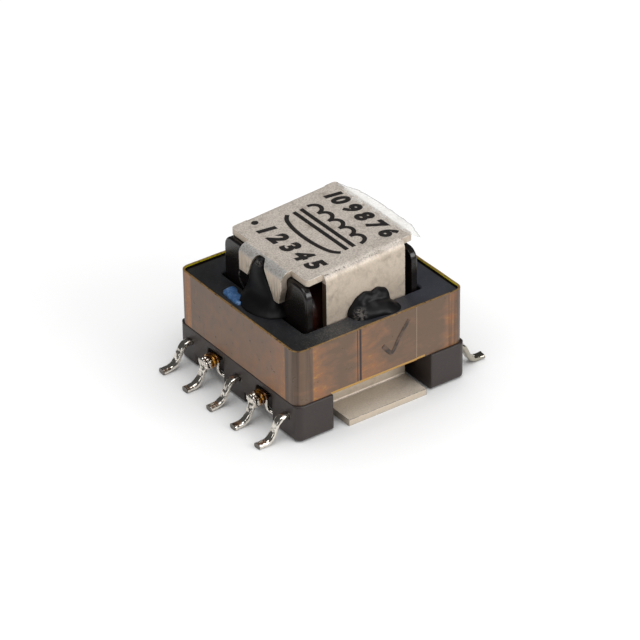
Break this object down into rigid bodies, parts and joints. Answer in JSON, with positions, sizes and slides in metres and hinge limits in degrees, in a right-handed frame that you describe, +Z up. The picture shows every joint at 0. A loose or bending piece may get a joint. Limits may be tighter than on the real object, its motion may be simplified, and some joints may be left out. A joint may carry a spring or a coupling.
{
  "type": "pcb transformer",
  "caption": "Small surface-mount transformer: taped ferrite E core on a moulded bobbin, fine winding inside, one heavy bent strip turn over it and gull-wing pins along both sides.",
  "frame": {"origin": "on the board's surface, under the middle of the part", "axes": "+X along the core's centre leg, across the two pin rows; +Y along the pin rows; +Z up from the board"},
  "size_m": [0.0178, 0.0136, 0.0105],
  "materials": {
    "ferrite": "matte ground",
    "bobbin_moulding": "moulded",
    "enamelled_wire": "clear enamel over copper",
    "wrap_tape": "smooth tape",
    "tinned_strip": "matte tin plate",
    "tinned_pin": "bright solder dip",
    "amber_tape": "smooth film over glue",
    "clear_film": "clear film",
    "black_glue": "glossy cured epoxy",
    "blue_glue": "satin cured",
    "solder": "bright solder"
  },
  "bodies": {
    "root": {"core_half_left": "ferrite", "core_half_right": "ferrite", "bobbin": "bobbin_moulding", "secondary_winding": "enamelled_wire", "winding_wrap": "wrap_tape", "primary_strip": "tinned_strip", "pin_1": "tinned_pin", "pin_2": "tinned_pin", "pin_3": "tinned_pin", "pin_4": "tinned_pin", "pin_5": "tinned_pin", "pin_6": "tinned_pin", "pin_7": "tinned_pin", "pin_8": "tinned_pin", "pin_9": "tinned_pin", "pin_10": "tinned_pin", "core_tape": "amber_tape", "clear_film": "clear_film", "front_glue": "black_glue", "claw_glue": "black_glue", "blue_glue": "blue_glue", "start_lead": "enamelled_wire", "finish_lead": "enamelled_wire", "start_solder": "solder", "finish_solder": "solder"}
  },
  "joints": []
}
